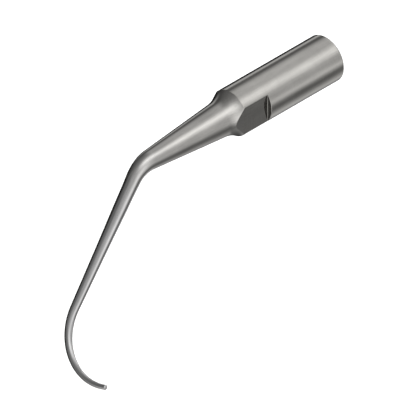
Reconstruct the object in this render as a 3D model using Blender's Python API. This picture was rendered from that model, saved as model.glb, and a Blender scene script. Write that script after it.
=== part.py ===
"""Periodontal tip of an ultrasonic scaler: a threaded steel hub with a bent, tapered shank brazed into its front.

Every piece is modelled about its own Z axis, with stations measured forward from the hub's rear face, and is
parented to one empty that lays that axis along -Y. The shank bends down and its working end hooks towards +X.
"""

import math

import bmesh
import bpy
from mathutils import Vector

MM = 0.001

# Hub
HUB_DIAMETER = 4.5 * MM
HUB_LENGTH = 11.9 * MM
REAR_CHAMFER = 0.15 * MM
ACROSS_FLATS = 3.5 * MM
FLAT_START = 9.1 * MM
PIECE_GAP = 0.01 * MM

# Female thread in the rear of the hub, M3 x 0.5
THREAD_MAJOR_RADIUS = 1.5 * MM
THREAD_PITCH = 0.5 * MM
THREAD_LENGTH = 6.0 * MM
TAP_DRILL_DEPTH = 6.8 * MM
COUNTERSINK_RADIUS = 1.65 * MM
WATER_PASSAGE_RADIUS = 0.5 * MM

# Brazed joint between hub and shank
SOCKET_RADIUS = 1.2 * MM
SOCKET_DEPTH = 2.6 * MM
SPIGOT_CLEARANCE = 0.02 * MM
BRAZE_THICKNESS = 0.05 * MM

# Flare and neck cone in front of the hub
FLARE_ARC_RADIUS = 3.2 * MM
NECK_RADIUS = 1.62 * MM
NECK_STATION = 13.63 * MM
NECK_SLOPE = 0.0825

# Bend, straight shank and hook; the vertex is where the two straight axes would meet
BEND_VERTEX = 23.25 * MM
BEND_ANGLE = math.radians(54.6)
BEND_RADIUS = 2.5 * MM
SHANK_LENGTH = 13.9 * MM
HOOK_RADIUS = 4.97 * MM
HOOK_SWEEP = math.radians(109.8)

# Section radii along the tapered wire
BEND_END_RADIUS = 0.71 * MM
SHANK_QUARTER_RADIUS = 0.628 * MM
SHANK_MIDDLE_RADIUS = 0.545 * MM
HOOK_START_RADIUS = 0.42 * MM
HOOK_MIDDLE_RADIUS = 0.312 * MM
TIP_RADIUS = 0.23 * MM
TIP_DOME_HEIGHT = 0.14 * MM

# Water duct through the shank
DUCT_RADIUS = 0.4 * MM
DUCT_END = 20.6 * MM
OUTLET_RADIUS = 0.22 * MM
OUTLET_ANGLE = math.radians(50.0)

# Facets
HUB_SEGMENTS = 48
SHANK_SEGMENTS = 32
THREAD_SEGMENTS = 32
DUCT_SEGMENTS = 16

HUB_RADIUS = HUB_DIAMETER / 2
THREAD_MINOR_RADIUS = THREAD_MAJOR_RADIUS - 0.5413 * THREAD_PITCH
FLARE_REAR = HUB_LENGTH + BRAZE_THICKNESS + 2 * PIECE_GAP
SPIGOT_REAR = HUB_LENGTH - SOCKET_DEPTH + 0.3 * MM
BEND_SETBACK = BEND_RADIUS * math.tan(BEND_ANGLE / 2)
BEND_START = BEND_VERTEX - BEND_SETBACK
BEND_END = BEND_START + BEND_RADIUS * BEND_ANGLE
HOOK_START = BEND_END + SHANK_LENGTH - BEND_SETBACK
TIP_END = HOOK_START + HOOK_RADIUS * HOOK_SWEEP


def clear_scene():
    for item in list(bpy.data.objects):
        bpy.data.objects.remove(item)


def steel(name, colour, roughness):
    """A bare metal whose colour is its reflection."""
    material = bpy.data.materials.new(name)
    material.use_nodes = True
    shader = material.node_tree.nodes["Principled BSDF"]
    shader.inputs["Base Color"].default_value = (*colour, 1.0)
    shader.inputs["Metallic"].default_value = 1.0
    shader.inputs["Roughness"].default_value = roughness
    material.diffuse_color = (*colour, 1.0)
    return material


def make_axis():
    """The empty that lays the pieces' own Z axis along -Y, with their Y axis up."""
    axis = bpy.data.objects.new("tool_axis", None)
    axis.rotation_euler.x = math.radians(90)
    axis.empty_display_size = HUB_DIAMETER
    bpy.context.collection.objects.link(axis)
    return axis


def place(name, mesh_builder, parent, material=None):
    """An object from a bmesh, with its faces turned out and its curved faces shaded smooth."""
    bmesh.ops.recalc_face_normals(mesh_builder, faces=mesh_builder.faces)
    mesh = bpy.data.meshes.new(name)
    mesh_builder.to_mesh(mesh)
    mesh_builder.free()
    mesh.shade_smooth()
    mesh.set_sharp_from_angle(angle=math.radians(30))
    if material:
        mesh.materials.append(material)
    item = bpy.data.objects.new(name, mesh)
    item.parent = parent
    bpy.context.collection.objects.link(item)
    return item


def make_cutter(item):
    item.hide_render = True
    item.display_type = "WIRE"
    return item


def cut(target, cutter):
    modifier = target.modifiers.new(f"cut_{cutter.name}", "BOOLEAN")
    modifier.operation = "DIFFERENCE"
    modifier.solver = "EXACT"
    modifier.object = cutter


def bridge(builder, first, second):
    """Faces between two rings of the same number of points."""
    count = len(first)
    for i in range(count):
        j = (i + 1) % count
        builder.faces.new((first[i], first[j], second[j], second[i]))


def circle(builder, centre, across, up, radius, segments):
    ring = []
    for i in range(segments):
        angle = 2 * math.pi * i / segments
        offset = across * (radius * math.cos(angle)) + up * (radius * math.sin(angle))
        ring.append(builder.verts.new(centre + offset))
    return ring


def turned_ring(outline, segments):
    """A closed outline of (radius, station) points turned about Z; no point lies on the axis."""
    builder = bmesh.new()
    across = Vector((1, 0, 0))
    up = Vector((0, 1, 0))
    rings = []
    for radius, station in outline:
        rings.append(circle(builder, Vector((0, 0, station)), across, up, radius, segments))
    for i, ring in enumerate(rings):
        bridge(builder, ring, rings[(i + 1) % len(rings)])
    return builder


def path_frame(station):
    """The centreline's point at a station, and its axes there: across, up and along."""
    across = Vector((1, 0, 0))
    turn = min(max(station - BEND_START, 0) / BEND_RADIUS, BEND_ANGLE)
    up = Vector((0, math.cos(turn), math.sin(turn)))
    along = Vector((0, -math.sin(turn), math.cos(turn)))
    point = Vector((0, 0, min(station, BEND_START)))
    point += BEND_RADIUS * Vector((0, math.cos(turn) - 1, math.sin(turn)))
    point += along * max(min(station, HOOK_START) - BEND_END, 0)
    hook = max(station - HOOK_START, 0) / HOOK_RADIUS
    point += HOOK_RADIUS * (along * math.sin(hook) + across * (1 - math.cos(hook)))
    hooked_across = across * math.cos(hook) - along * math.sin(hook)
    hooked_along = along * math.cos(hook) + across * math.sin(hook)
    return point, hooked_across, up, hooked_along


def cone_radius(station):
    return NECK_RADIUS - NECK_SLOPE * (station - NECK_STATION)


def flare_profile(steps):
    """(station, radius) along the concave arc from just past the rim to the neck cone, which it meets smoothly."""
    lean = math.atan(NECK_SLOPE)
    centre_station = NECK_STATION + FLARE_ARC_RADIUS * math.sin(lean)
    centre_radius = NECK_RADIUS + FLARE_ARC_RADIUS * math.cos(lean)
    rim_angle = math.acos((centre_radius - HUB_RADIUS) / FLARE_ARC_RADIUS)
    for i in range(steps):
        angle = rim_angle + (lean - rim_angle) * (i + 1) / steps
        station = centre_station - FLARE_ARC_RADIUS * math.sin(angle)
        yield station, centre_radius - FLARE_ARC_RADIUS * math.cos(angle)


def wire_radius(station):
    """A smooth taper through the named radii, from the start of the bend to the tip."""
    straight = HOOK_START - BEND_END
    knots = (
        (BEND_START, cone_radius(BEND_START)),
        (BEND_END, BEND_END_RADIUS),
        (BEND_END + straight / 4, SHANK_QUARTER_RADIUS),
        (BEND_END + straight / 2, SHANK_MIDDLE_RADIUS),
        (HOOK_START, HOOK_START_RADIUS),
        ((HOOK_START + TIP_END) / 2, HOOK_MIDDLE_RADIUS),
        (TIP_END, TIP_RADIUS),
    )
    slopes = [-NECK_SLOPE]
    for (s0, r0), (s2, r2) in zip(knots, knots[2:]):
        slopes.append((r2 - r0) / (s2 - s0))
    slopes.append((knots[-1][1] - knots[-2][1]) / (knots[-1][0] - knots[-2][0]))
    i = 0
    while i < len(knots) - 2 and station > knots[i + 1][0]:
        i += 1
    (s0, r0), (s1, r1) = knots[i], knots[i + 1]
    span = s1 - s0
    t = (station - s0) / span
    rise = r0 + t * t * (3 - 2 * t) * (r1 - r0)
    return rise + span * t * (1 - t) * ((1 - t) * slopes[i] - t * slopes[i + 1])


def shank_sections():
    """(station, radius) of each section of the shank, from the spigot's rear to the tip's dome."""
    spigot_radius = SOCKET_RADIUS - SPIGOT_CLEARANCE
    cone_middle = (NECK_STATION + BEND_START) / 2
    sections = [(SPIGOT_REAR, spigot_radius), (FLARE_REAR, spigot_radius), (FLARE_REAR, HUB_RADIUS)]
    sections.extend(flare_profile(8))
    sections.append((cone_middle, cone_radius(cone_middle)))
    dome_start = TIP_END - TIP_DOME_HEIGHT
    for start, end, steps in ((BEND_START, BEND_END, 12), (BEND_END, HOOK_START, 8), (HOOK_START, dome_start, 28)):
        for i in range(steps):
            station = start + (end - start) * i / steps
            sections.append((station, wire_radius(station)))
    for i in range(4):
        lean = math.radians(90) * i / 4
        sections.append((dome_start + TIP_DOME_HEIGHT * math.sin(lean), wire_radius(dome_start) * math.cos(lean)))
    return sections


def swept_solid(sections, end_station, segments):
    """A solid of round sections along the centreline, flat at its start and closed to a point at its end."""
    builder = bmesh.new()
    rings = []
    for station, radius in sections:
        point, across, up, _ = path_frame(station)
        rings.append(circle(builder, point, across, up, radius, segments))
    builder.faces.new(rings[0])
    for first, second in zip(rings, rings[1:]):
        bridge(builder, first, second)
    pole = builder.verts.new(path_frame(end_station)[0])
    for i, corner in enumerate(rings[-1]):
        builder.faces.new((corner, rings[-1][(i + 1) % segments], pole))
    return builder


def rod(start, end, radius, segments):
    """A plain round rod between two points, with flat ends."""
    builder = bmesh.new()
    along = (end - start).normalized()
    across = Vector((1, 0, 0))
    up = along.cross(across)
    first = circle(builder, start, across, up, radius, segments)
    last = circle(builder, end, across, up, radius, segments)
    bridge(builder, first, last)
    builder.faces.new(first)
    builder.faces.new(last)
    return builder


def make_flat_cutter(parent):
    """Two blocks that mill the wrench flats, one on each side, from the shoulder forward."""
    builder = bmesh.new()
    depth = HUB_RADIUS
    length = NECK_STATION - FLAT_START
    for side in (-1, 1):
        made = bmesh.ops.create_cube(builder, size=1.0)
        for corner in made["verts"]:
            corner.co.x = side * (ACROSS_FLATS / 2 + depth / 2) + corner.co.x * depth
            corner.co.y *= 2.4 * HUB_RADIUS
            corner.co.z = FLAT_START + length * (corner.co.z + 0.5)
    return make_cutter(place("flat_cutter", builder, parent))


def make_thread_cutter(parent):
    """The helical ridge that cuts the female thread: it starts behind the rear face and fades out at its end."""
    builder = bmesh.new()
    base_radius = THREAD_MINOR_RADIUS - 0.06 * MM
    root_flat = THREAD_PITCH / 8
    turns = THREAD_LENGTH / THREAD_PITCH + 1
    steps = round(turns * THREAD_SEGMENTS)
    rings = []
    for i in range(steps + 1):
        angle = 2 * math.pi * i / THREAD_SEGMENTS
        station = THREAD_PITCH * (i / THREAD_SEGMENTS - 1)
        fade = min(1, (steps - i) / (THREAD_SEGMENTS / 2))
        crest_radius = base_radius + 0.02 * MM + (THREAD_MAJOR_RADIUS - base_radius - 0.02 * MM) * fade
        half_base = root_flat / 2 + (crest_radius - base_radius) * math.tan(math.radians(30))
        corners = (
            (base_radius, -half_base),
            (crest_radius, -root_flat / 2),
            (crest_radius, root_flat / 2),
            (base_radius, half_base),
        )
        ring = []
        for radius, offset in corners:
            place_at = (radius * math.cos(angle), radius * math.sin(angle), station + offset)
            ring.append(builder.verts.new(place_at))
        rings.append(ring)
    for first, second in zip(rings, rings[1:]):
        bridge(builder, first, second)
    builder.faces.new(rings[0])
    builder.faces.new(rings[-1])
    return make_cutter(place("thread_cutter", builder, parent))


def make_duct_cutters(parent):
    """The straight drilling on the neck's axis, and the slanting outlet that leaves the neck's underside."""
    drilling_start = Vector((0, 0, SPIGOT_REAR - 0.5 * MM))
    drilling = rod(drilling_start, Vector((0, 0, DUCT_END)), DUCT_RADIUS, DUCT_SEGMENTS)
    outlet_start = Vector((0, 0, DUCT_END - DUCT_RADIUS))
    slant = Vector((0, -math.sin(OUTLET_ANGLE), math.cos(OUTLET_ANGLE)))
    outlet = rod(outlet_start, outlet_start + slant * (2 * NECK_RADIUS), OUTLET_RADIUS, DUCT_SEGMENTS)
    return (
        make_cutter(place("duct_cutter", drilling, parent)),
        make_cutter(place("outlet_cutter", outlet, parent)),
    )


def make_hub(parent, material, flat_cutter, thread_cutter):
    drill_point = (THREAD_MINOR_RADIUS - WATER_PASSAGE_RADIUS) / math.tan(math.radians(59))
    outline = (
        (COUNTERSINK_RADIUS, 0),
        (HUB_RADIUS - REAR_CHAMFER, 0),
        (HUB_RADIUS, REAR_CHAMFER),
        (HUB_RADIUS, HUB_LENGTH),
        (SOCKET_RADIUS, HUB_LENGTH),
        (SOCKET_RADIUS, HUB_LENGTH - SOCKET_DEPTH),
        (WATER_PASSAGE_RADIUS, HUB_LENGTH - SOCKET_DEPTH),
        (WATER_PASSAGE_RADIUS, TAP_DRILL_DEPTH + drill_point),
        (THREAD_MINOR_RADIUS, TAP_DRILL_DEPTH),
        (THREAD_MINOR_RADIUS, COUNTERSINK_RADIUS - THREAD_MINOR_RADIUS),
    )
    hub = place("hub", turned_ring(outline, HUB_SEGMENTS), parent, material)
    cut(hub, flat_cutter)
    cut(hub, thread_cutter)


def make_braze_ring(parent, material, flat_cutter):
    rear = HUB_LENGTH + PIECE_GAP
    front = rear + BRAZE_THICKNESS
    bore = SOCKET_RADIUS + SPIGOT_CLEARANCE
    outline = ((bore, rear), (HUB_RADIUS, rear), (HUB_RADIUS, front), (bore, front))
    ring = place("braze_ring", turned_ring(outline, HUB_SEGMENTS), parent, material)
    cut(ring, flat_cutter)


def make_shank(parent, material, flat_cutter, duct_cutters):
    shank = place("shank", swept_solid(shank_sections(), TIP_END, SHANK_SEGMENTS), parent, material)
    cut(shank, flat_cutter)
    for cutter in duct_cutters:
        cut(shank, cutter)


def main():
    clear_scene()
    axis = make_axis()
    hub_steel = steel("hub_steel", (0.62, 0.61, 0.58), 0.3)
    shank_steel = steel("shank_steel", (0.66, 0.65, 0.62), 0.25)
    braze_alloy = steel("braze_alloy", (0.70, 0.68, 0.60), 0.35)
    flat_cutter = make_flat_cutter(axis)
    thread_cutter = make_thread_cutter(axis)
    duct_cutters = make_duct_cutters(axis)
    make_hub(axis, hub_steel, flat_cutter, thread_cutter)
    make_braze_ring(axis, braze_alloy, flat_cutter)
    make_shank(axis, shank_steel, flat_cutter, duct_cutters)


main()
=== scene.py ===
"""Screw-on periodontal tip of an ultrasonic scaler, floating over a plain pale floor.

The three CAD solids are replaced by finer pieces of the same sizes: a turned hub with milled wrench flats
and a female thread, the hairline braze ring, and the drawn shank with its bend and hooked working end. A
point of the tool is described by its station, which is its distance forward of the hub's rear face along the
centreline, by its angle about the centreline, which is zero on the +X side, and by its radius there.
"""

import math

import bmesh
import bpy
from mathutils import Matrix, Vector

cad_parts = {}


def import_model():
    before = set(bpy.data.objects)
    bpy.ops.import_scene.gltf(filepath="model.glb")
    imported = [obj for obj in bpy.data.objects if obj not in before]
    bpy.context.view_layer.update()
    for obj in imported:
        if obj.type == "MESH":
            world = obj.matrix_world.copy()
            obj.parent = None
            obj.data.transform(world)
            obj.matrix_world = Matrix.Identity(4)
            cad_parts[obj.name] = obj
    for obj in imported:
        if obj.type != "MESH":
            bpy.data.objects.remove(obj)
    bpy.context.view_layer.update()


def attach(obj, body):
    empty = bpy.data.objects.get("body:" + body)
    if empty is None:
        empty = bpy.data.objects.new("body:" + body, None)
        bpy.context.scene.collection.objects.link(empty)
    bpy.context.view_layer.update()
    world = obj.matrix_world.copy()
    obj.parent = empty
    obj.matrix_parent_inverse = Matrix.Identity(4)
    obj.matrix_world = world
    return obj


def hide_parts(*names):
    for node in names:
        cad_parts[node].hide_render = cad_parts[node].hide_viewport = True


MM = 0.001

# Hub, with the female thread in its rear and the spigot's socket in its front
HUB_RADIUS = 2.25 * MM
HUB_LENGTH = 11.9 * MM
REAR_CHAMFER = 0.15 * MM
REAR_ROUNDING = 0.05 * MM
THREAD_MAJOR_RADIUS = 1.5 * MM
THREAD_MINOR_RADIUS = 1.229 * MM
THREAD_DEPTH = THREAD_MAJOR_RADIUS - THREAD_MINOR_RADIUS
THREAD_HALF_ANGLE = math.radians(30)
THREAD_PITCH = 0.5 * MM
THREAD_ROOT_HALF_WIDTH = THREAD_PITCH / 16
THREAD_LENGTH = 6.0 * MM
THREAD_RELIEF_END = 6.3 * MM
TAP_DRILL_DEPTH = 6.8 * MM
TAP_DRILL_POINT = 0.44 * MM
COUNTERSINK_RADIUS = 1.65 * MM
WATER_PASSAGE_RADIUS = 0.5 * MM
SOCKET_RADIUS = 1.2 * MM
SOCKET_BOTTOM = 9.3 * MM

# Wrench flats, which run from a square shoulder on the hub until the flare falls away from them, and the
# cosine of an angle past which no point of the hub is near them
FLAT_DISTANCE = 1.75 * MM
FLAT_START = 9.1 * MM
FLAT_REACH_COSINE = 0.6
EDGE_ROUNDING = 0.025 * MM

# The shoulder's broken edge, near-square wall and small fillet: how far ahead of FLAT_START in mm, and the
# share of the flats' depth there. The rings of the mesh lie at the rows below it, also in mm.
SHOULDER_PROFILE = (
    (-0.03, 0.0), (-0.015, 0.01), (-0.006, 0.03), (0.0, 0.06), (0.001, 0.12),
    (0.005, 0.88), (0.006, 0.94), (0.012, 0.97), (0.021, 0.99), (0.036, 1.0),
)
SHOULDER_ROWS = (
    -0.2, -0.06, -0.03, -0.022, -0.015, -0.01, -0.006, -0.003, 0, 0.001, 0.003,
    0.005, 0.006, 0.009, 0.012, 0.016, 0.021, 0.028, 0.036, 0.06, 0.2,
)

# How worn the hub's front rim is beside the flats, and the flats' shoulder where it is at least this deep
RIM_WEAR = 0.2
SHOULDER_WEAR = 0.5
SHOULDER_WEAR_DEPTH = 0.1 * MM

# Joint between hub and shank
RING_REAR = 11.902 * MM
RING_FRONT = 11.968 * MM
SPIGOT_REAR = 9.6 * MM
SPIGOT_RADIUS = 1.18 * MM
SPIGOT_CHAMFER = 0.1 * MM
INNER_ROUNDING = 0.03 * MM

# Flare and neck cone
FLARE_REAR = 11.97 * MM
FLARE_ARC_RADIUS = 3.2 * MM
NECK_RADIUS = 1.62 * MM
NECK_STATION = 13.63 * MM
NECK_SLOPE = 0.0825

# Bend, straight shank and hook; the vertex is where the two straight axes would meet
BEND_VERTEX = 23.25 * MM
BEND_ANGLE = math.radians(54.6)
BEND_RADIUS = 2.5 * MM
SHANK_LENGTH = 13.9 * MM
HOOK_RADIUS = 4.97 * MM
HOOK_SWEEP = math.radians(109.8)

# Section radii along the tapered wire
BEND_END_RADIUS = 0.71 * MM
SHANK_QUARTER_RADIUS = 0.628 * MM
SHANK_MIDDLE_RADIUS = 0.545 * MM
HOOK_START_RADIUS = 0.42 * MM
HOOK_MIDDLE_RADIUS = 0.312 * MM
TIP_RADIUS = 0.23 * MM
TIP_DOME_HEIGHT = 0.14 * MM

# The faint straw colour that brazing left on the steel, and the stations between which it fades out
STRAW = (1.0, 0.985, 0.945)
STRAW_FULL = 20.0 * MM
STRAW_END = 27.0 * MM

# Water duct through the shank
DUCT_RADIUS = 0.4 * MM
DUCT_END = 20.6 * MM
DUCT_DRILL_POINT = 0.23 * MM
OUTLET_RADIUS = 0.22 * MM
OUTLET_ANGLE = math.radians(50.0)

# Finishing marks: how deep they are, and how many to a metre across, along and up the unbent tool
GRAIN_DEPTH = 0.00012 * MM
STREAK_SCALE = (9000, 450, 9000)
PATCH_SCALE = (700, 350, 700)
SPECKLE_SCALE = (14000, 14000, 14000)

# The ranges that nearly all of a noise's output lies in, and that of two noises added up
NOISE_RANGE = (0.3, 0.7)
NOISE_SUM_RANGE = (0.7, 1.3)

# What a layer of noise adds to the steel's tone, and what it multiplies the roughness by
PATCH_TONE = (0.0, 0.4)
MARK_TONE = (0.0, 0.2)
PATCH_ROUGHNESS = (0.85, 1.15)
WORN_ROUGHNESS = (1.0, 1.6)

# Patches where the wear of the edges comes and goes, and how much of it there is in them
WEAR_NOISE_RANGE = (0.35, 0.65)
WEAR_SHARE = (0.4, 1.0)

# Height of the streaks and the speckle beside that of the finishing marks
STREAK_HEIGHT = 0.5
SPECKLE_HEIGHT = 0.25

# The studio, the camera's distance and aim, and how much of the object's space the picture's width holds
FLOOR_HALF_SIDE = 1.3
FLOOR_HEIGHT = -28 * MM
FLOOR_WHITENESS = 0.9
FLOOR_ROUGHNESS = 0.9
LAMP_STRENGTH = 3.4
LAMP_SPREAD = math.radians(150)
CAMERA_AIM = Vector((-1.786, -12.723, -10.938)) * MM
CAMERA_DISTANCE = 0.12
PICTURE_WIDTH = 36.842 * MM

# What the steel reflects where there is neither a strip nor a flag
BASE_LIGHT = 0.03

# Ends of a strip that has no end on that side: they are past every direction
FRONT = -2.0
REAR = 2.0

# Soft strips of light parallel to the hub, for the steel to reflect. A row holds the strip's roll about Y in
# degrees, from +X towards +Z; its spread in degrees; where it starts and ends, as the Y of a direction of
# length 1, which is negative in front; the softness of those ends; and its brightness.
STRIPS = (
    (30, 60, FRONT, REAR, 0.2, 0.4),  # broad softbox above the camera, for the general grey
    (60, 15, -0.4, 0.7, 0.4, 0.8),  # narrow top light, for the bright line along the hub and the neck
    (-10, 30, -0.5, 0.2, 0.4, 0.7),  # right side light, for the bright face of the shank
    (-10, 10, 0.5, 0.8, 0.1, 0.3),  # narrow right side light, for the pale line low on the hub
    (120, 25, 0.4, REAR, 0.3, 0.4),  # left rear light, for the hub's pale upper left
    (90, 45, 0.8, REAR, 0.2, 0.6),  # far rear light, for faces that the camera only grazes
    (175, 7, 0.4, REAR, 0.4, 1.5),  # thin left strip, for the light line inside the upper outline
    (-90, 20, 0.5, REAR, 0.1, 0.45),  # low rear light, for the pale edge under the hub
    (-100, 40, FRONT, -0.65, 0.1, 0.6),  # low front light, for the sides seen from behind
    (-120, 15, -0.4, 0.2, 0.1, 0.8),  # low left light, for the back of the shank
)

# Black flags: the same rows, with the share of the light that the flag holds back in place of brightness
FLAGS = (
    (150, 10, 0.2, REAR, 0.2, 0.5),  # the dark band along the hub's upper left
    (205, 30, -0.6, 0.9, 0.1, 0.95),  # the dark upper outline
    (-45, 20, -0.7, -0.3, 0.1, 0.9),  # the square shoulder of the right flat
    (-40, 15, 0.1, 0.8, 0.1, 0.5),  # the right flat, and the dark band low on the hub
    (90, 400, 0.985, REAR, 0.01, 0.5),  # all round the rear, for the outline of a view from the front
)

# How finely the meshes are divided: the points to a ring; on rings that the flats cross, how far from the
# middle of a flat the fine columns reach, and the fine and the coarse step between columns, in degrees; the
# rings of the rounded tip; the angle from which an edge is sharp; and the shortest edge left after drilling
BORE_COLUMNS = 160
NECK_COLUMNS = 144
WIRE_COLUMNS = 96
OUTLET_COLUMNS = 48
FINE_REACH = 42.0
FINE_STEP = 0.75
COARSE_STEP = 3.0
DOME_RINGS = 10
SHARP_ANGLE = math.radians(38)
MERGE_DISTANCE = 0.0001 * MM

# Rows of points to a turn of the thread, in pitches from the root's middle, close to the corners of the root
# and the crest; the first and last turn; and how close to its end rings a row falls on them
THREAD_ROWS = (-0.07, -0.05, 0.05, 0.07, 0.18, 0.3, 0.36, 0.45, 0.55, 0.64, 0.7, 0.82)
THREAD_FIRST_TURN = -2
THREAD_LAST_TURN = 14
THREAD_END_SNAP = 0.01 * MM

# Stations where the spacing of the rings, or of the columns that join them, changes
RELIEF_RINGS_END = TAP_DRILL_DEPTH - 0.1 * MM
DUCT_RINGS_START = DUCT_END - 1.0 * MM
DUCT_RINGS_END = SPIGOT_REAR + 0.5 * MM
DUCT_MOUTH_RING = SPIGOT_REAR + 0.3 * MM
SPIGOT_SIDE_RING = SPIGOT_REAR + 0.6 * MM
REAR_RINGS_END = 0.5 * MM
BARREL_START = 1.0 * MM
BARREL_END = FLAT_START - 0.3 * MM
FLAT_RINGS_START = 9.6 * MM
FLAT_RINGS_END = 11.6 * MM
FRONT_RIM_RINGS = (11.8 * MM, 11.87 * MM, HUB_LENGTH)
FLAT_COLUMNS_END = 13.2 * MM
NECK_COLUMNS_START = 13.25 * MM
NECK_COLUMNS_END = 18.0 * MM

# Radii of the innermost rings of the hub's two end faces
REAR_FACE_INNER_RADIUS = COUNTERSINK_RADIUS + 0.03 * MM
FRONT_FACE_INNER_RADIUS = SOCKET_RADIUS + 0.06 * MM

# Stations worked out from the driving dimensions
BEND_SETBACK = BEND_RADIUS * math.tan(BEND_ANGLE / 2)
BEND_START = BEND_VERTEX - BEND_SETBACK
BEND_END = BEND_START + BEND_RADIUS * BEND_ANGLE
HOOK_START = BEND_END + SHANK_LENGTH - BEND_SETBACK
TIP_END = HOOK_START + HOOK_RADIUS * HOOK_SWEEP
DOME_START = TIP_END - TIP_DOME_HEIGHT


# ---------------------------------------------------------------- shape of the tool

def path_frame(station):
    """The centreline's point at a station, and the directions across and up there."""
    turn = min(max(station - BEND_START, 0) / BEND_RADIUS, BEND_ANGLE)
    across = Vector((1, 0, 0))
    up = Vector((0, -math.sin(turn), math.cos(turn)))
    along = Vector((0, -math.cos(turn), -math.sin(turn)))
    point = Vector((0, -min(station, BEND_START), 0))
    point += BEND_RADIUS * Vector((0, -math.sin(turn), math.cos(turn) - 1))
    point += along * max(min(station, HOOK_START) - BEND_END, 0)
    hook = max(station - HOOK_START, 0) / HOOK_RADIUS
    point += HOOK_RADIUS * (along * math.sin(hook) + across * (1 - math.cos(hook)))
    hooked_across = across * math.cos(hook) - along * math.sin(hook)
    return point, hooked_across, up


def smooth_min(first, second, reach):
    """The smaller of two lengths, rounded off where they differ by less than reach, and how close they are,
    from 0 to 1."""
    blend = max(reach - abs(first - second), 0) / reach
    return min(first, second) - blend * blend * reach / 4, blend


def smooth_step(value):
    value = min(max(value, 0), 1)
    return value * value * (3 - 2 * value)


def cone_radius(station):
    return NECK_RADIUS - NECK_SLOPE * (station - NECK_STATION)


def flare_radius(station):
    """The concave arc in front of the hub, which runs into the neck cone."""
    if station >= NECK_STATION:
        return cone_radius(station)
    lean = math.atan(NECK_SLOPE)
    centre_station = NECK_STATION + FLARE_ARC_RADIUS * math.sin(lean)
    centre_radius = NECK_RADIUS + FLARE_ARC_RADIUS * math.cos(lean)
    behind = centre_station - station
    return centre_radius - math.sqrt(max(FLARE_ARC_RADIUS ** 2 - behind ** 2, 0))


def wire_radius(station):
    """A smooth taper through the named radii, from the start of the bend to the tip."""
    straight = HOOK_START - BEND_END
    knots = (
        (BEND_START, cone_radius(BEND_START)),
        (BEND_END, BEND_END_RADIUS),
        (BEND_END + straight / 4, SHANK_QUARTER_RADIUS),
        (BEND_END + straight / 2, SHANK_MIDDLE_RADIUS),
        (HOOK_START, HOOK_START_RADIUS),
        ((HOOK_START + TIP_END) / 2, HOOK_MIDDLE_RADIUS),
        (TIP_END, TIP_RADIUS),
    )
    slopes = [-NECK_SLOPE]
    for (s0, r0), (s2, r2) in zip(knots, knots[2:]):
        slopes.append((r2 - r0) / (s2 - s0))
    slopes.append((knots[-1][1] - knots[-2][1]) / (knots[-1][0] - knots[-2][0]))
    i = 0
    while i < len(knots) - 2 and station > knots[i + 1][0]:
        i += 1
    (s0, r0), (s1, r1) = knots[i], knots[i + 1]
    span = s1 - s0
    t = (station - s0) / span
    rise = r0 + t * t * (3 - 2 * t) * (r1 - r0)
    return rise + span * t * (1 - t) * ((1 - t) * slopes[i] - t * slopes[i + 1])


def shoulder_share(station):
    """The share of the flats' full depth that has been milled in at a station."""
    ahead = (station - FLAT_START) / MM
    if ahead <= SHOULDER_PROFILE[0][0]:
        return 0.0
    for (s0, h0), (s1, h1) in zip(SHOULDER_PROFILE, SHOULDER_PROFILE[1:]):
        if ahead <= s1:
            return h0 + (h1 - h0) * (ahead - s0) / (s1 - s0)
    return 1.0


def body_radius(station, angle):
    """The outer radius of the hub, joint and flare, and how worn its edge is there, from 0 to 1."""
    round_radius, rim = smooth_min(HUB_RADIUS, flare_radius(station), EDGE_ROUNDING)
    facing = abs(math.cos(angle))
    if facing < FLAT_REACH_COSINE:
        return round_radius, rim
    cut_radius, edge = smooth_min(round_radius, FLAT_DISTANCE / facing, EDGE_ROUNDING)
    depth = round_radius - cut_radius
    share = shoulder_share(station)
    shoulder = 4 * share * (1 - share) * min(depth / SHOULDER_WEAR_DEPTH, 1)
    wear = max(rim * RIM_WEAR, edge * share, shoulder * SHOULDER_WEAR)
    return round_radius - depth * share, wear


# ---------------------------------------------------------------- mesh building

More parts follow.
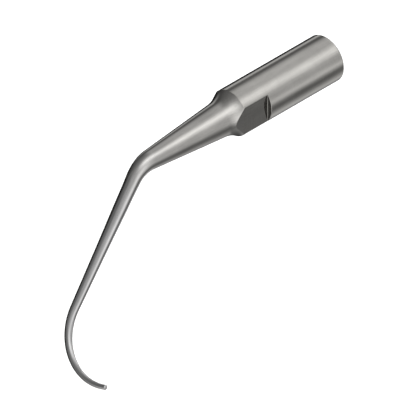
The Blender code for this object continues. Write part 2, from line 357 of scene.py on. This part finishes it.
class Skin:
    """A mesh under construction: its rings of points, and what each point carries for the materials."""

    def __init__(self):
        self.builder = bmesh.new()
        self.straight = self.builder.verts.layers.float_vector.new("straight")
        self.edge = self.builder.verts.layers.float.new("edge")

    def point(self, station, angle, radius, edge=0.0):
        """A point of the skin, which also keeps where it would lie on an unbent tool, and how worn it is."""
        centre, across, up = path_frame(station)
        place = centre + across * (radius * math.cos(angle)) + up * (radius * math.sin(angle))
        made = self.builder.verts.new(place)
        made[self.straight] = Vector((radius * math.cos(angle), -station, radius * math.sin(angle)))
        made[self.edge] = edge
        return made

    def ring(self, station, angles, radius):
        """A ring of (angle, point) pairs; radius is a length, or a function of station and angle."""
        made = []
        for angle in angles:
            length, edge = radius(station, angle) if callable(radius) else (radius, 0.0)
            made.append((angle, self.point(station, angle, length, edge)))
        return made

    def face(self, *points):
        distinct = []
        for point in points:
            if point not in distinct:
                distinct.append(point)
        if len(distinct) > 2 and self.builder.faces.get(distinct) is None:
            self.builder.faces.new(distinct)

    def join(self, first, second):
        """Faces between two rings, zipped by angle where their numbers of points differ."""
        if len(first) == len(second):
            for i in range(len(first)):
                j = (i + 1) % len(first)
                self.face(first[i][1], first[j][1], second[j][1], second[i][1])
            return
        i = j = 0
        while i < len(first) or j < len(second):
            next_first = first[i + 1][0] if i + 1 < len(first) else first[0][0] + 2 * math.pi
            next_second = second[j + 1][0] if j + 1 < len(second) else second[0][0] + 2 * math.pi
            from_first = first[i % len(first)][1]
            from_second = second[j % len(second)][1]
            if j >= len(second) or (i < len(first) and next_first <= next_second):
                self.face(from_first, first[(i + 1) % len(first)][1], from_second)
                i += 1
            else:
                self.face(from_first, second[(j + 1) % len(second)][1], from_second)
                j += 1

    def chain(self, rings):
        for first, second in zip(rings, rings[1:]):
            self.join(first, second)

    def close(self, ring, station):
        """A fan that closes a ring at a point on the centreline."""
        pole = self.point(station, 0.0, 0.0)
        for i in range(len(ring)):
            self.face(ring[i][1], ring[(i + 1) % len(ring)][1], pole)

    def finish(self, name, material, node):
        bmesh.ops.recalc_face_normals(self.builder, faces=self.builder.faces)
        mesh = bpy.data.meshes.new(name)
        self.builder.to_mesh(mesh)
        self.builder.free()
        mesh.shade_smooth()
        mesh.set_sharp_from_angle(angle=SHARP_ANGLE)
        mesh.materials.append(material)
        piece = bpy.data.objects.new(name, mesh)
        bpy.context.collection.objects.link(piece)
        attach(piece, "root")
        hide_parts(node)
        return piece


def even_angles(count):
    return [2 * math.pi * i / count for i in range(count)]


def flat_angles():
    """Columns that crowd together where the flats' edges run, and spread out over the top and underside."""
    fine_count = round(2 * FINE_REACH / FINE_STEP)
    coarse_count = round((180 - 2 * FINE_REACH) / COARSE_STEP)
    fine = [math.radians(-FINE_REACH + FINE_STEP * i) for i in range(fine_count)]
    coarse = [math.radians(FINE_REACH + COARSE_STEP * i) for i in range(coarse_count)]
    half = fine + coarse
    angles = half + [angle + math.pi for angle in half]
    start = fine_count // 2
    return angles[start:] + [angle + 2 * math.pi for angle in angles[:start]]


def rounded(outline, reach, steps=4):
    """An open outline of (station, radius) points with its inner corners rounded off."""
    made = [outline[0]]
    for before, corner, after in zip(outline, outline[1:], outline[2:]):
        here = Vector(corner)
        back = Vector(before) - here
        ahead = Vector(after) - here
        start = here + back.normalized() * min(reach, back.length / 2)
        end = here + ahead.normalized() * min(reach, ahead.length / 2)
        for i in range(steps + 1):
            t = i / steps
            made.append(tuple(start * (1 - t) ** 2 + here * (2 * t * (1 - t)) + end * t ** 2))
    made.append(outline[-1])
    return made


def stations(start, end, steps):
    return [start + (end - start) * i / steps for i in range(steps)]


# ---------------------------------------------------------------- pieces

def thread_radius(station, angle):
    """The wall of the threaded hole: a 60 degree groove that starts in the countersink and fades out at its
    end."""
    phase = (station / THREAD_PITCH - angle / (2 * math.pi)) % 1.0
    from_root = min(phase, 1 - phase) * THREAD_PITCH
    rise = (from_root - THREAD_ROOT_HALF_WIDTH) / math.tan(THREAD_HALF_ANGLE)
    depth = min(max(THREAD_DEPTH - rise, 0), THREAD_DEPTH)
    depth *= 1 - smooth_step((station - THREAD_LENGTH + THREAD_PITCH) / THREAD_PITCH)
    return max(THREAD_MINOR_RADIUS + depth, COUNTERSINK_RADIUS - station)


def thread_wall(skin):
    """The threaded hole's wall, whose rows climb with the helix. Gives its rings at the mouth and at the
    relief, and a row that would lie past one of them falls on it."""
    angles = even_angles(BORE_COLUMNS)
    mouth = skin.ring(0.0, angles, COUNTERSINK_RADIUS)
    relief = skin.ring(THREAD_RELIEF_END, angles, THREAD_MINOR_RADIUS)
    count = len(THREAD_ROWS)
    made = {}

    def at(column, row):
        row += count * (column // BORE_COLUMNS)
        column %= BORE_COLUMNS
        turns = row // count + THREAD_ROWS[row % count] + column / BORE_COLUMNS
        station = turns * THREAD_PITCH
        if station < THREAD_END_SNAP:
            return mouth[column][1]
        if station > THREAD_RELIEF_END - THREAD_END_SNAP:
            return relief[column][1]
        if (column, row) not in made:
            angle = angles[column]
            made[column, row] = skin.point(station, angle, thread_radius(station, angle))
        return made[column, row]

    for row in range(THREAD_FIRST_TURN * count, THREAD_LAST_TURN * count):
        for column in range(BORE_COLUMNS):
            skin.face(at(column, row), at(column + 1, row), at(column + 1, row + 1), at(column, row + 1))
    return mouth, relief


def make_hub(material):
    skin = Skin()
    outer = flat_angles()
    bore = even_angles(BORE_COLUMNS)
    mouth, relief = thread_wall(skin)

    rear_outline = rounded((
        (0.0, REAR_FACE_INNER_RADIUS),
        (0.0, HUB_RADIUS - REAR_CHAMFER),
        (REAR_CHAMFER, HUB_RADIUS),
        (REAR_RINGS_END, HUB_RADIUS),
    ), REAR_ROUNDING)
    barrel = [skin.ring(station, outer, radius) for station, radius in rear_outline]
    shoulder = [FLAT_START + ahead * MM for ahead in SHOULDER_ROWS]
    front = stations(FLAT_RINGS_START, FLAT_RINGS_END, steps=5)
    for station in (*stations(BARREL_START, BARREL_END, steps=8), *shoulder, *front, *FRONT_RIM_RINGS):
        barrel.append(skin.ring(station, outer, body_radius))
    skin.join(mouth, barrel[0])
    skin.chain(barrel)

    inner_outline = rounded((
        (HUB_LENGTH, FRONT_FACE_INNER_RADIUS),
        (HUB_LENGTH, SOCKET_RADIUS),
        (SOCKET_BOTTOM, SOCKET_RADIUS),
        (SOCKET_BOTTOM, WATER_PASSAGE_RADIUS),
        (TAP_DRILL_DEPTH + TAP_DRILL_POINT, WATER_PASSAGE_RADIUS),
        (TAP_DRILL_DEPTH, THREAD_MINOR_RADIUS),
        (RELIEF_RINGS_END, THREAD_MINOR_RADIUS),
    ), INNER_ROUNDING)
    inside = [skin.ring(station, bore, radius) for station, radius in inner_outline]
    skin.join(barrel[-1], inside[0])
    skin.chain(inside)
    skin.join(inside[-1], relief)
    skin.finish("hub_turned", material, "hub")


def make_braze_ring(material):
    skin = Skin()
    outer = flat_angles()
    bore = even_angles(BORE_COLUMNS)
    middle = (RING_REAR + RING_FRONT) / 2
    outside = [skin.ring(station, outer, body_radius) for station in (RING_REAR, middle, RING_FRONT)]
    inside = [skin.ring(station, bore, SOCKET_RADIUS) for station in (RING_FRONT, RING_REAR)]
    skin.chain([*outside, *inside, outside[0]])
    skin.finish("braze_line", material, "braze_ring")


def duct_and_spigot(skin, angles):
    """The water duct's wall from its blind end back to the spigot's rear face, and round that to its side."""
    blind = skin.ring(DUCT_END, angles, DUCT_RADIUS)
    skin.close(blind, DUCT_END + DUCT_DRILL_POINT)
    wall = [blind]
    for station in stations(DUCT_RINGS_START, DUCT_RINGS_END, steps=6):
        wall.append(skin.ring(station, angles, DUCT_RADIUS))
    outline = rounded((
        (DUCT_MOUTH_RING, DUCT_RADIUS),
        (SPIGOT_REAR, DUCT_RADIUS),
        (SPIGOT_REAR, SPIGOT_RADIUS - SPIGOT_CHAMFER),
        (SPIGOT_REAR + SPIGOT_CHAMFER, SPIGOT_RADIUS),
        (SPIGOT_SIDE_RING, SPIGOT_RADIUS),
    ), INNER_ROUNDING)
    for station, radius in outline:
        wall.append(skin.ring(station, angles, radius))
    return wall


def make_shank(material):
    skin = Skin()
    bore = even_angles(BORE_COLUMNS)
    spigot = duct_and_spigot(skin, bore)
    spigot.append(skin.ring(FLARE_REAR, bore, SPIGOT_RADIUS))
    skin.chain(spigot)

    rings = [spigot[-1]]
    for station in stations(FLARE_REAR, FLAT_COLUMNS_END, steps=36):
        rings.append(skin.ring(station, flat_angles(), body_radius))
    neck = even_angles(NECK_COLUMNS)
    flare = stations(NECK_COLUMNS_START, NECK_STATION, steps=8)
    cone = stations(NECK_STATION, NECK_COLUMNS_END, steps=10)
    for station in flare + cone:
        rings.append(skin.ring(station, neck, body_radius))
    wire = even_angles(WIRE_COLUMNS)
    for station in stations(NECK_COLUMNS_END, BEND_START, steps=8):
        rings.append(skin.ring(station, wire, cone_radius(station)))
    bend = stations(BEND_START, BEND_END, steps=40)
    straight = stations(BEND_END, HOOK_START, steps=30)
    hook = stations(HOOK_START, DOME_START, steps=90)
    for station in bend + straight + hook:
        rings.append(skin.ring(station, wire, wire_radius(station)))
    for i in range(DOME_RINGS):
        lean = math.radians(90) * i / DOME_RINGS
        station = DOME_START + TIP_DOME_HEIGHT * math.sin(lean)
        rings.append(skin.ring(station, wire, wire_radius(DOME_START) * math.cos(lean)))
    skin.chain(rings)
    skin.close(rings[-1], TIP_END)
    shank = skin.finish("shank_drawn", material, "shank")
    drill_outlet(shank)


def outlet_drill():
    """A rod where the water outlet goes, from the duct out past the neck's underside."""
    start = Vector((0, -(DUCT_END - DUCT_RADIUS), 0))
    slant = Vector((0, -math.cos(OUTLET_ANGLE), -math.sin(OUTLET_ANGLE)))
    side = Vector((1, 0, 0))
    lift = slant.cross(side)
    builder = bmesh.new()
    rings = []
    for distance in (0.0, 2 * NECK_RADIUS):
        ring = []
        for angle in even_angles(OUTLET_COLUMNS):
            offset = side * math.cos(angle) + lift * math.sin(angle)
            ring.append(builder.verts.new(start + slant * distance + offset * OUTLET_RADIUS))
        rings.append(ring)
    for i in range(OUTLET_COLUMNS):
        j = (i + 1) % OUTLET_COLUMNS
        builder.faces.new((rings[0][i], rings[0][j], rings[1][j], rings[1][i]))
    builder.faces.new(rings[0])
    builder.faces.new(rings[1])
    bmesh.ops.recalc_face_normals(builder, faces=builder.faces)
    mesh = bpy.data.meshes.new("outlet_drill")
    builder.to_mesh(mesh)
    builder.free()
    drill = bpy.data.objects.new("outlet_drill", mesh)
    bpy.context.collection.objects.link(drill)
    return drill


def drill_outlet(shank):
    """Cuts the slanting water outlet from the neck's underside into the duct."""
    drill = outlet_drill()
    modifier = shank.modifiers.new("outlet", "BOOLEAN")
    modifier.operation = "DIFFERENCE"
    modifier.solver = "EXACT"
    modifier.object = drill
    graph = bpy.context.evaluated_depsgraph_get()
    drilled = bpy.data.meshes.new_from_object(shank.evaluated_get(graph))
    shank.modifiers.clear()
    shank.data = drilled
    cleaner = bmesh.new()
    cleaner.from_mesh(drilled)
    bmesh.ops.dissolve_degenerate(cleaner, dist=MERGE_DISTANCE, edges=cleaner.edges)
    many_sided = [face for face in cleaner.faces if len(face.verts) > 4]
    bmesh.ops.triangulate(cleaner, faces=many_sided)
    cleaner.to_mesh(drilled)
    cleaner.free()
    drilled.shade_smooth()
    drilled.set_sharp_from_angle(angle=SHARP_ANGLE)
    bpy.data.objects.remove(drill)


# ---------------------------------------------------------------- materials

def node(tree, kind, **settings):
    made = tree.nodes.new(kind)
    for name, value in settings.items():
        setattr(made, name, value)
    return made


def stretched_noise(tree, scale, detail, roughness=0.5):
    """Noise over the unbent tool. scale is how many grains there are to a metre across, along and up."""
    where = node(tree, "ShaderNodeAttribute", attribute_name="straight")
    stretch = node(tree, "ShaderNodeMapping")
    stretch.inputs["Scale"].default_value = scale
    noise = node(tree, "ShaderNodeTexNoise")
    noise.inputs["Scale"].default_value = 1.0
    noise.inputs["Detail"].default_value = detail
    noise.inputs["Roughness"].default_value = roughness
    tree.links.new(where.outputs["Vector"], stretch.inputs["Vector"])
    tree.links.new(stretch.outputs["Vector"], noise.inputs["Vector"])
    return noise.outputs["Fac"]


def remap(tree, value, given, wanted):
    """A value carried over from a given range to the wanted one, and kept inside it."""
    ramp = node(tree, "ShaderNodeMapRange", clamp=True)
    ramp.inputs["From Min"].default_value, ramp.inputs["From Max"].default_value = given
    ramp.inputs["To Min"].default_value, ramp.inputs["To Max"].default_value = wanted
    tree.links.new(value, ramp.inputs["Value"])
    return ramp.outputs["Result"]


def combine(tree, operation, first, second=0.0):
    """The outcome of a Math node; second is a socket or a plain number, where the operation needs one."""
    made = node(tree, "ShaderNodeMath", operation=operation)
    tree.links.new(first, made.inputs[0])
    if isinstance(second, float):
        made.inputs[1].default_value = second
    else:
        tree.links.new(second, made.inputs[1])
    return made.outputs["Value"]


def steel_colour(tree, dark, light, patches, marks):
    """The steel's colour: mottled from dark to light, and faintly straw up to the bend."""
    tone = node(tree, "ShaderNodeMix", data_type="RGBA")
    tone.inputs["A"].default_value = (*dark, 1.0)
    tone.inputs["B"].default_value = (*light, 1.0)
    mixed = remap(tree, patches, NOISE_RANGE, PATCH_TONE)
    for layer in marks:
        mixed = combine(tree, "ADD", mixed, remap(tree, layer, NOISE_RANGE, MARK_TONE))
    tree.links.new(mixed, tone.inputs["Factor"])
    where = node(tree, "ShaderNodeAttribute", attribute_name="straight")
    straight = node(tree, "ShaderNodeSeparateXYZ")
    tree.links.new(where.outputs["Vector"], straight.inputs["Vector"])
    warmed = remap(tree, straight.outputs["Y"], (-STRAW_END, -STRAW_FULL), (0.0, 1.0))
    tinted = node(tree, "ShaderNodeMix", data_type="RGBA", blend_type="MULTIPLY")
    tinted.inputs["B"].default_value = (*STRAW, 1.0)
    tree.links.new(warmed, tinted.inputs["Factor"])
    tree.links.new(tone.outputs["Result"], tinted.inputs["A"])
    return tinted.outputs["Result"]


def steel_roughness(tree, satin, patches, marks, streaks):
    """The steel's roughness, which follows its marks, varies in patches and is highest on worn edges."""
    satin_marks = remap(tree, combine(tree, "ADD", marks, streaks), NOISE_SUM_RANGE, satin)
    blotches = remap(tree, patches, NOISE_RANGE, PATCH_ROUGHNESS)
    roughness = combine(tree, "MULTIPLY", satin_marks, blotches)
    edges = node(tree, "ShaderNodeAttribute", attribute_name="edge").outputs["Fac"]
    worn_edges = combine(tree, "MULTIPLY", edges, remap(tree, patches, WEAR_NOISE_RANGE, WEAR_SHARE))
    rubbed = remap(tree, worn_edges, (0.0, 1.0), WORN_ROUGHNESS)
    return combine(tree, "MULTIPLY", roughness, rubbed)


def steel_relief(tree, marks, streaks, speckle):
    """The shallow relief of the finishing marks, as a shading normal."""
    relief = combine(tree, "ADD", marks, combine(tree, "MULTIPLY", streaks, STREAK_HEIGHT))
    relief = combine(tree, "ADD", relief, combine(tree, "MULTIPLY", speckle, SPECKLE_HEIGHT))
    bump = node(tree, "ShaderNodeBump")
    bump.inputs["Strength"].default_value = 1.0
    bump.inputs["Distance"].default_value = GRAIN_DEPTH
    tree.links.new(relief, bump.inputs["Height"])
    return bump.outputs["Normal"]


def steel(name, dark, light, satin, grain):
    """Bare steel. dark and light are the ends of its colour, satin the ends of its roughness, and grain the
    scale of its finishing marks across, along and up the unbent tool."""
    material = bpy.data.materials.new(name)
    material.use_nodes = True
    tree = material.node_tree
    shader = tree.nodes["Principled BSDF"]
    shader.inputs["Metallic"].default_value = 1.0
    marks = stretched_noise(tree, grain, detail=4.0, roughness=0.6)
    streaks = stretched_noise(tree, STREAK_SCALE, detail=2.0, roughness=0.6)
    patches = stretched_noise(tree, PATCH_SCALE, detail=3.0)
    speckle = stretched_noise(tree, SPECKLE_SCALE, detail=2.0)
    colour = steel_colour(tree, dark, light, patches, (marks, streaks, speckle))
    tree.links.new(colour, shader.inputs["Base Color"])
    tree.links.new(steel_roughness(tree, satin, patches, marks, streaks), shader.inputs["Roughness"])
    tree.links.new(steel_relief(tree, marks, streaks, speckle), shader.inputs["Normal"])
    return material


# ---------------------------------------------------------------- studio

def make_floor():
    """A wide pale floor, well below the tool."""
    builder = bmesh.new()
    bmesh.ops.create_grid(builder, x_segments=8, y_segments=8, size=FLOOR_HALF_SIDE)
    mesh = bpy.data.meshes.new("floor")
    builder.to_mesh(mesh)
    builder.free()
    material = bpy.data.materials.new("pale_floor")
    material.use_nodes = True
    shader = material.node_tree.nodes["Principled BSDF"]
    shader.inputs["Base Color"].default_value = (FLOOR_WHITENESS, FLOOR_WHITENESS, FLOOR_WHITENESS, 1.0)
    shader.inputs["Roughness"].default_value = FLOOR_ROUGHNESS
    shader.inputs["Specular IOR Level"].default_value = 0.0
    mesh.materials.append(material)
    floor = bpy.data.objects.new("floor", mesh)
    floor.location.z = FLOOR_HEIGHT
    floor.visible_glossy = False
    bpy.context.collection.objects.link(floor)


def band(tree, value, low, high, softness):
    """1 where a value lies between low and high, with soft ends."""
    rise = node(tree, "ShaderNodeMapRange", interpolation_type="SMOOTHSTEP")
    fall = node(tree, "ShaderNodeMapRange", interpolation_type="SMOOTHSTEP")
    for ramp, middle, start, end in ((rise, low, 0.0, 1.0), (fall, high, 1.0, 0.0)):
        ramp.inputs["From Min"].default_value = middle - softness
        ramp.inputs["From Max"].default_value = middle + softness
        ramp.inputs["To Min"].default_value = start
        ramp.inputs["To Max"].default_value = end
        tree.links.new(value, ramp.inputs["Value"])
    return combine(tree, "MULTIPLY", rise.outputs["Result"], fall.outputs["Result"])


def strip(tree, across, along, roll, spread, low, high, softness):
    """A soft strip parallel to the hub: how much of it each direction sees, from 0 to 1."""
    facing = node(tree, "ShaderNodeVectorMath", operation="DOT_PRODUCT")
    facing.inputs[1].default_value = (math.cos(math.radians(roll)), 0, math.sin(math.radians(roll)))
    tree.links.new(across, facing.inputs[0])
    away = combine(tree, "SUBTRACT", facing.outputs["Value"], 1.0)
    falloff = combine(tree, "DIVIDE", away, math.radians(spread) ** 2)
    crosswise = combine(tree, "EXPONENT", falloff)
    return combine(tree, "MULTIPLY", crosswise, band(tree, along, low, high, softness))


def studio_light(tree):
    """The brightness of every direction round the tool, after the strips and the flags."""
    where = node(tree, "ShaderNodeTexCoord").outputs["Generated"]
    parts = node(tree, "ShaderNodeSeparateXYZ")
    tree.links.new(where, parts.inputs["Vector"])
    along = parts.outputs["Y"]
    flattened = node(tree, "ShaderNodeVectorMath", operation="MULTIPLY")
    flattened.inputs[1].default_value = (1, 0, 1)
    tree.links.new(where, flattened.inputs[0])
    unit = node(tree, "ShaderNodeVectorMath", operation="NORMALIZE")
    tree.links.new(flattened.outputs["Vector"], unit.inputs[0])
    across = unit.outputs["Vector"]
    total = node(tree, "ShaderNodeValue").outputs["Value"]
    total.default_value = BASE_LIGHT
    for *place, brightness in STRIPS:
        light = combine(tree, "MULTIPLY", strip(tree, across, along, *place), brightness)
        total = combine(tree, "ADD", total, light)
    for *place, held_back in FLAGS:
        shade = combine(tree, "MULTIPLY", strip(tree, across, along, *place), -held_back)
        total = combine(tree, "MULTIPLY", total, combine(tree, "ADD", shade, 1.0))
    return total


def make_world():
    """A white backdrop for the camera to see, and the studio's light for everything else."""
    world = bpy.data.worlds.new("studio")
    bpy.context.scene.world = world
    world.use_nodes = True
    tree = world.node_tree
    tree.nodes.clear()
    surroundings = node(tree, "ShaderNodeBackground")
    tree.links.new(studio_light(tree), surroundings.inputs["Color"])
    backdrop = node(tree, "ShaderNodeBackground")
    backdrop.inputs["Color"].default_value = (1.0, 1.0, 1.0, 1.0)
    rays = node(tree, "ShaderNodeLightPath")
    choose = node(tree, "ShaderNodeMixShader")
    output = node(tree, "ShaderNodeOutputWorld")
    tree.links.new(rays.outputs["Is Camera Ray"], choose.inputs["Fac"])
    tree.links.new(surroundings.outputs["Background"], choose.inputs[1])
    tree.links.new(backdrop.outputs["Background"], choose.inputs[2])
    tree.links.new(choose.outputs["Shader"], output.inputs["Surface"])


def make_lamp():
    """A soft lamp overhead for the floor. The steel doesn't mirror it."""
    lamp = bpy.data.lights.new("soft_overhead", "SUN")
    lamp.energy = LAMP_STRENGTH
    lamp.angle = LAMP_SPREAD
    overhead = bpy.data.objects.new("soft_overhead", lamp)
    overhead.visible_glossy = False
    bpy.context.collection.objects.link(overhead)


def make_camera():
    """A parallel projection along a cube's diagonal, from in front of the tool, to its right and above it."""
    data = bpy.data.cameras.new("camera")
    data.type = "ORTHO"
    data.ortho_scale = PICTURE_WIDTH
    data.clip_start = 1 * MM
    data.clip_end = 5.0
    camera = bpy.data.objects.new("camera", data)
    back = Vector((1, -1, 1)).normalized()
    camera.location = CAMERA_AIM + back * CAMERA_DISTANCE
    camera.rotation_euler = (math.atan(math.sqrt(2)), 0, math.radians(45))
    bpy.context.collection.objects.link(camera)
    bpy.context.scene.camera = camera


def main():
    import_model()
    make_hub(steel(
        "turned_steel",
        dark=(0.54, 0.535, 0.53),
        light=(0.77, 0.765, 0.76),
        satin=(0.08, 0.17),
        grain=(150, 12000, 150),
    ))
    make_braze_ring(steel(
        "braze_filler",
        dark=(0.52, 0.515, 0.50),
        light=(0.72, 0.71, 0.69),
        satin=(0.10, 0.18),
        grain=(3000, 9000, 3000),
    ))
    make_shank(steel(
        "drawn_steel",
        dark=(0.545, 0.54, 0.54),
        light=(0.775, 0.77, 0.77),
        satin=(0.07, 0.15),
        grain=(9000, 900, 9000),
    ))
    make_floor()
    make_world()
    make_lamp()
    make_camera()
    bpy.context.scene.view_settings.view_transform = "Standard"


main()
